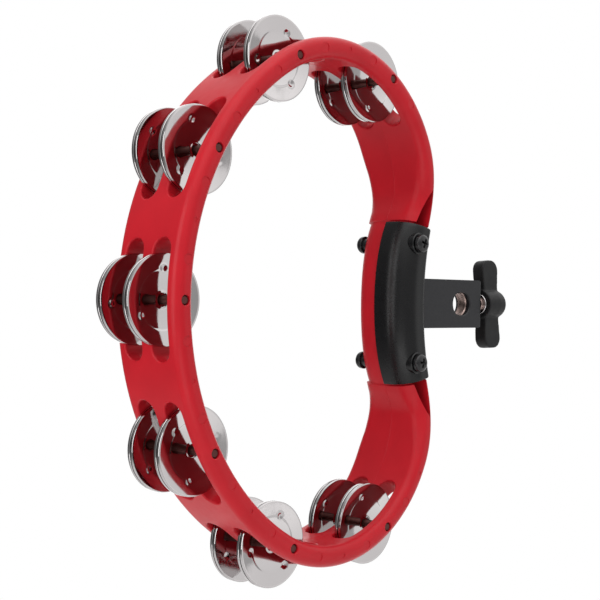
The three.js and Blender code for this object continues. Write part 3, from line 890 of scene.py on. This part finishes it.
def make_bracket(material):
    low, high = box_mm("bracket")
    ear = BRACKET_EAR_HEIGHT
    strap = skin("bracket_strap", [strap_ring(z, low, high) for z in (-ear, ear)])
    height = BRACKET_HALF_HEIGHT
    corner = BRACKET_CORNER
    plate = [(low.x, -height)]
    plate += arc_points((high.x - corner, corner - height), corner, -90, 0, 8)
    plate += arc_points((high.x - corner, height - corner), corner, 0, 90, 8)
    plate.append((low.x, height))
    reach = high.y + 1
    blank = prism("blank", plate, -reach, reach)
    add(blank, prism("ears", channel_outline(ear, EAR_CLEARANCE), -reach, reach))
    combine(strap, blank, "INTERSECT")
    cut(strap, rod_slot(reach))
    way = SHANK_RADIUS + SHANK_CLEARANCE
    cut(strap, turned("way", [(way, 10), (way, 30)], axis="X"))
    cut(strap, gathered("bolts", [bore(BARREL_BORE, BOLT_X, z, -reach, reach) for z in BOLT_HEIGHTS]))
    soften(strap, BRACKET_EDGE, 3, 40)
    shade(strap, 40)
    finish_piece(strap, "body", "powder_coat", material, "bracket")


def threaded_rod(radius, low, high):
    """A rod along X with a helical thread."""
    sides = 28
    per_turn = 8
    count = int((high - low) / THREAD_PITCH * per_turn)
    rings = []
    for step in range(count + 1):
        x = mix(low, high, step / count)
        ring = []
        for side in range(sides):
            phase = (x / THREAD_PITCH - side / sides) % 1
            reach = radius - THREAD_DEPTH * (1 - abs(2 * phase - 1))
            angle = TURN * side / sides
            ring.append(Vector((x, reach * math.cos(angle), reach * math.sin(angle))))
        rings.append(ring)
    return skin("thread", rings)


def make_eye_bolt(material):
    low, high = box_mm("eye_bolt")
    half = high.y
    corner = EYE_CORNER
    seat = half - ROD_HOLE_CHAMFER
    mouth = ROD_HOLE + ROD_HOLE_CHAMFER
    profile = [(ROD_HOLE, -seat), (ROD_HOLE, seat), (mouth, half)]
    profile += arc_points((EYE_RADIUS - corner, half - corner), corner, 90, 0, 5)
    profile += arc_points((EYE_RADIUS - corner, corner - half), corner, 0, -90, 5)
    profile.append((mouth, -half))
    eye = turned("eye_bolt_steel", profile, sides=96, is_loop=True)
    add(eye, threaded_rod(SHANK_RADIUS, ROD_HOLE + 1.2, high.x))
    shade(eye, 40)
    finish_piece(eye, "eye_bolt", "plain_steel", material, "eye_bolt")


def make_washer(material, steel):
    low, high = box_mm("washer")
    radius = high.z
    inner = SHANK_RADIUS + SHANK_CLEARANCE
    edge = 0.45
    collar = turned("washer_collar", [
        (inner, low.x), (COLLAR_RADIUS - 0.3, low.x), (COLLAR_RADIUS, low.x + 0.3),
        (COLLAR_RADIUS, COLLAR_END_X - 0.05), (inner, COLLAR_END_X - 0.05),
    ], axis="X", sides=64, is_loop=True)
    shade(collar, 40)
    finish_piece(collar, "body", "plain_steel", steel, "washer")

    profile = [(inner, COLLAR_END_X), (radius - edge, COLLAR_END_X)]
    profile += arc_points((radius - edge, COLLAR_END_X + edge), edge, -80, 0, 4)
    profile += arc_points((radius - edge, high.x - edge), edge, 10, 90, 4)
    profile.append((inner, high.x))
    washer = turned("washer_ring", profile, axis="X", sides=72, is_loop=True)
    shade(washer, 40)
    finish_piece(washer, "body", "nickel_steel", material, "washer")


def wing_outline():
    """Two paddles with round tips, waisted towards the hub."""
    corner = (WING_END_X - WING_START_X) / 2 - 1.4
    outline = [(WING_START_X + WING_WAIST, 0)]
    outline += arc_points((WING_START_X + corner, corner - WING_HALF_SPAN), corner, 180, 270, 10)
    outline += arc_points((WING_END_X - corner, corner - WING_HALF_SPAN), corner, 270, 360, 10)
    outline.append((WING_END_X - WING_WAIST, 0))
    outline += arc_points((WING_END_X - corner, WING_HALF_SPAN - corner), corner, 0, 90, 10)
    outline += arc_points((WING_START_X + corner, WING_HALF_SPAN - corner), corner, 90, 180, 10)
    return outline


def make_wing_nut(material, steel):
    low, high = box_mm("wing_nut")
    start, end = HUB_START_X, high.x
    profile = [(0, start), (HUB_RADIUS, start), (HUB_RADIUS + 0.4, end - 9), (HUB_RADIUS, end - 4.6)]
    profile += [(HUB_RADIUS * share, end - below) for share, below in HUB_CROWN]
    profile.append((0, end))
    hub = turned("wing_nut_moulding", profile, axis="X", sides=64)
    add(hub, prism("wings", wing_outline(), -WING_HALF_WIDTH, WING_HALF_WIDTH))
    remesh = hub.modifiers.new("even", "REMESH")
    remesh.mode = "VOXEL"
    remesh.voxel_size = HUB_GRAIN
    relax = hub.modifiers.new("relax", "SMOOTH")
    relax.factor = 0.5
    relax.iterations = 22
    apply_modifiers(hub)
    before = low.x - CUT_MARGIN
    relief = box_mm("washer")[1].z + 0.7
    cut(hub, turned("relief", [(relief, before), (relief, start)], axis="X", sides=64))
    hole = SHANK_RADIUS + GAP
    cut(hub, turned("bore", [(hole, before), (hole, end - 2)], axis="X"))
    pocket = INSERT_RADIUS + GAP
    pocket_end = start + INSERT_LENGTH + GAP
    cut(hub, turned("pocket", [(pocket, before), (pocket, pocket_end)], axis="X", sides=6))
    hub.data.transform(Matrix.Rotation(WING_TILT, 4, "X"))
    shade(hub, 50)
    finish_piece(hub, "wing_nut", "black_plastic", material, "wing_nut")

    inner = SHANK_RADIUS + 0.1
    last = start + INSERT_LENGTH
    profile = [(inner, start), (INSERT_RADIUS, start), (INSERT_RADIUS, last), (inner, last)]
    insert = turned("wing_nut_insert_hex", profile, axis="X", sides=6, is_loop=True)
    insert.data.transform(Matrix.Rotation(WING_TILT, 4, "X"))
    soften(insert, 0.2, 2, 30)
    shade(insert, 30)
    finish_piece(insert, "wing_nut", "plain_steel", steel, "wing_nut_insert")


# ---- jingles and pins ----------------------------------------------------------------------


def dish_depth(radius):
    """How far the disc's face lies behind its outer edge."""
    for (inner, low), (outer, high) in zip(DISH_PROFILE, DISH_PROFILE[1:]):
        if radius <= outer:
            share = (radius - inner) / (outer - inner)
            return mix(low, high, share * share if outer == BOWL_RADIUS else share)
    return 0


def dimple_depth(radius, angle):
    """Three round dimples stamped outside the bowl, the first at angle 0."""
    for index in range(3):
        gap = (angle - TURN * index / 3 + math.pi) % TURN - math.pi
        away = math.hypot(radius * math.cos(gap) - DIMPLE_RING, radius * math.sin(gap))
        if away < DIMPLE_RADIUS:
            return DIMPLE_DEPTH * math.cos(math.pi * away / (2 * DIMPLE_RADIUS)) ** 1.3
    return 0


def jingle_mesh(spin):
    """A dished disc with its face's edge on y = 0, its dish and its skirt towards +Y."""
    sides = 120
    first = math.radians(spin)
    # The rings are closest together at the hole, the bowl's edge and the dimples.
    radii = [JINGLE_HOLE, 3.4, 3.7, 4.0, 4.5, 5.2, 6.1, 7, 8, 9, 10, 11]
    radii += [11.7 + 0.35 * step for step in range(12)] + [16.4, 17.4, 18.4, 19.4]
    front = [(radius, dish_depth(radius)) for radius in radii]
    edge = [(JINGLE_RADIUS - 0.35, 0), (JINGLE_RADIUS - 0.1, 0.1), (JINGLE_RADIUS, 0.35)]
    edge += [(JINGLE_RADIUS, SKIRT - 0.15), (JINGLE_RADIUS - 0.15, SKIRT), (JINGLE_RADIUS - 0.3, SKIRT)]
    edge += [(JINGLE_RADIUS - SHEET, SKIRT - 0.1), (JINGLE_RADIUS - SHEET, SHEET + 0.2)]
    back = [(radius, dish_depth(radius) + SHEET) for radius in reversed(radii)]
    rings = []
    for radius, depth in front + edge + back:
        ring = []
        for side in range(sides):
            angle = TURN * side / sides
            y = depth + dimple_depth(radius, angle - first)
            ring.append(Vector((radius * math.cos(angle), y, radius * math.sin(angle))) * MM)
        rings.append(ring)
    disc = skin("disc", rings, is_loop=True)
    disc.data.shade_smooth()
    disc.data.set_sharp_from_angle(angle=math.radians(38))
    mesh = disc.data
    bpy.data.objects.remove(disc)
    return mesh


def make_jingles(material):
    meshes = [jingle_mesh(spin) for spin in JINGLE_SPINS]
    flip = Matrix.Rotation(math.pi, 4, "X")
    for number in range(1, STATIONS + 1):
        for index, (row, side) in enumerate(itertools.product(("front", "rear"), ("near", "far"))):
            node = f"jingle_{number}_{row}_{side}"
            low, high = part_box(node)
            middle = (low + high) / 2
            middle.y = low.y if side == "near" else high.y
            piece = new_piece(node + "_disc", meshes[(number + index) % len(meshes)])
            piece.matrix_world = Matrix.Translation(middle) @ (flip if side == "far" else Matrix())
            dress(piece, node, "nickel_steel", material, node)


def make_pins(material):
    for number in range(1, STATIONS + 1):
        low, high = box_mm(f"pin_{number}")
        middle = (low + high) / 2
        radius = (high.z - low.z) / 2
        end = high.y
        profile = [(0, -end), (radius - 0.5, -end), (radius, 0.35 - end)]
        profile += [(reach, -y) for reach, y in reversed(profile)]
        pin = turned(f"pin_{number}_rod", profile, (middle.x, 0, middle.z), sides=40)
        shade(pin, 30)
        finish_piece(pin, "body", "plain_steel", material, f"pin_{number}")


# ---- studio --------------------------------------------------------------------------------


def make_camera():
    camera = bpy.data.cameras.new("camera")
    camera.lens = CAMERA_LENS
    camera.sensor_width = 36
    camera.clip_start = 0.01
    camera.clip_end = 20
    eye = bpy.data.objects.new("camera", camera)
    up = CAMERA_BACK.cross(CAMERA_RIGHT).normalized()
    turn = Matrix((CAMERA_RIGHT, up, CAMERA_BACK.normalized())).transposed().to_4x4()
    eye.matrix_world = Matrix.Translation(CAMERA_PLACE * MM) @ turn
    bpy.context.scene.collection.objects.link(eye)
    bpy.context.scene.camera = eye


def make_softbox(name, where, size, power):
    light = bpy.data.lights.new(name, "AREA")
    light.shape = "RECTANGLE"
    light.size, light.size_y = size
    light.energy = power
    lamp = bpy.data.objects.new(name, light)
    lamp.location = where
    aim = Vector(SOFTBOX_TARGET) - Vector(where)
    lamp.rotation_euler = aim.to_track_quat("-Z", "Y").to_euler()
    bpy.context.scene.collection.objects.link(lamp)


def gradient(tree, vector, axis, levels):
    """A brightness that follows how far a direction points along an axis."""
    share = tree.nodes.new("ShaderNodeVectorMath")
    share.operation = "DOT_PRODUCT"
    share.inputs[1].default_value = axis
    tree.links.new(vector, share.inputs[0])
    place_on_ramp = tree.nodes.new("ShaderNodeMapRange")
    place_on_ramp.inputs["From Min"].default_value = -1
    tree.links.new(share.outputs["Value"], place_on_ramp.inputs["Value"])
    ramp = tree.nodes.new("ShaderNodeValToRGB")
    steps = ramp.color_ramp.elements
    for position, _ in levels[1:-1]:
        steps.new((position + 1) / 2)
    for step, (_, level) in zip(steps, levels):
        step.color = (level, level, level, 1)
    tree.links.new(place_on_ramp.outputs["Result"], ramp.inputs["Fac"])
    return ramp.outputs["Color"]


def towards(tree, value, goal, share):
    """A value, drawn to a goal by a share."""
    blend = tree.nodes.new("ShaderNodeMix")
    blend.inputs["B"].default_value = goal
    tree.links.new(share, blend.inputs["Factor"])
    tree.links.new(value, blend.inputs["A"])
    return blend.outputs["Result"]


def product(tree, first, second):
    result = tree.nodes.new("ShaderNodeMath")
    result.operation = "MULTIPLY"
    tree.links.new(first, result.inputs[0])
    tree.links.new(second, result.inputs[1])
    return result.outputs["Value"]


def make_world():
    """A pale tent round the object, with white paper behind it."""
    world = bpy.data.worlds.new("studio")
    bpy.context.scene.world = world
    world.use_nodes = True
    tree = world.node_tree
    direction = tree.nodes.new("ShaderNodeTexCoord").outputs["Generated"]
    ray = tree.nodes.new("ShaderNodeLightPath").outputs
    upright = gradient(tree, direction, (0, 0, 1), TENT_LEVELS)
    tent = product(tree, upright, gradient(tree, direction, CAMERA_RIGHT, SIDE_LEVELS))
    room = towards(tree, tent, 1, gradient(tree, direction, -CAMERA_BACK, PAPER_LEVELS))
    one = tree.nodes.new("ShaderNodeValue").outputs["Value"]
    one.default_value = 1
    mirrored = product(tree, room, towards(tree, one, MIRRORED_GAIN, ray["Is Glossy Ray"]))
    background = tree.nodes["Background"]
    background.inputs["Color"].default_value = (1, 1, 1, 1)
    tree.links.new(towards(tree, mirrored, 1, ray["Is Camera Ray"]), background.inputs["Strength"])


def make_floor():
    """A pale round floor that fades into the white paper."""
    shape = bmesh.new()
    bmesh.ops.create_circle(shape, cap_ends=True, segments=96, radius=FLOOR_RADIUS)
    mesh = bpy.data.meshes.new("floor")
    shape.to_mesh(mesh)
    shape.free()
    floor = new_piece("floor", mesh)
    floor.location = (FLOOR_CENTRE_X, 0, cad_low.z - FLOOR_DROP)
    material = bpy.data.materials.new("floor")
    material.use_nodes = True
    nodes = material.node_tree.nodes
    links = material.node_tree.links
    shader = nodes["Principled BSDF"]
    shader.inputs["Base Color"].default_value = (0.9, 0.9, 0.9, 1)
    shader.inputs["Roughness"].default_value = 0.9
    coordinates = nodes.new("ShaderNodeTexCoord")
    length = nodes.new("ShaderNodeVectorMath")
    length.operation = "LENGTH"
    links.new(coordinates.outputs["Object"], length.inputs[0])
    fade = nodes.new("ShaderNodeMapRange")
    fade.interpolation_type = "SMOOTHSTEP"
    fade.inputs["From Min"].default_value = FLOOR_FADE_START
    fade.inputs["From Max"].default_value = FLOOR_RADIUS - FLOOR_FADE_MARGIN
    fade.inputs["To Min"].default_value = 1
    fade.inputs["To Max"].default_value = 0
    links.new(length.outputs["Value"], fade.inputs["Value"])
    links.new(fade.outputs["Result"], shader.inputs["Alpha"])
    floor.data.materials.append(material)


def make_studio():
    make_camera()
    make_world()
    make_floor()
    for softbox in SOFTBOXES:
        make_softbox(*softbox)
    bpy.context.scene.view_settings.view_transform = "Standard"


make_studio()
red = make_red_abs()
plain_steel = make_plain_steel()
nickel = make_nickel()
black_oxide = make_black_oxide()
make_frame(red)
make_cover(make_black_plastic())
make_bolts(black_oxide)
make_bracket(make_powder_coat())
make_eye_bolt(plain_steel)
make_washer(nickel, plain_steel)
make_wing_nut(make_knob_plastic(), plain_steel)
make_jingles(nickel)
make_pins(make_pin_metal_painted_shade())
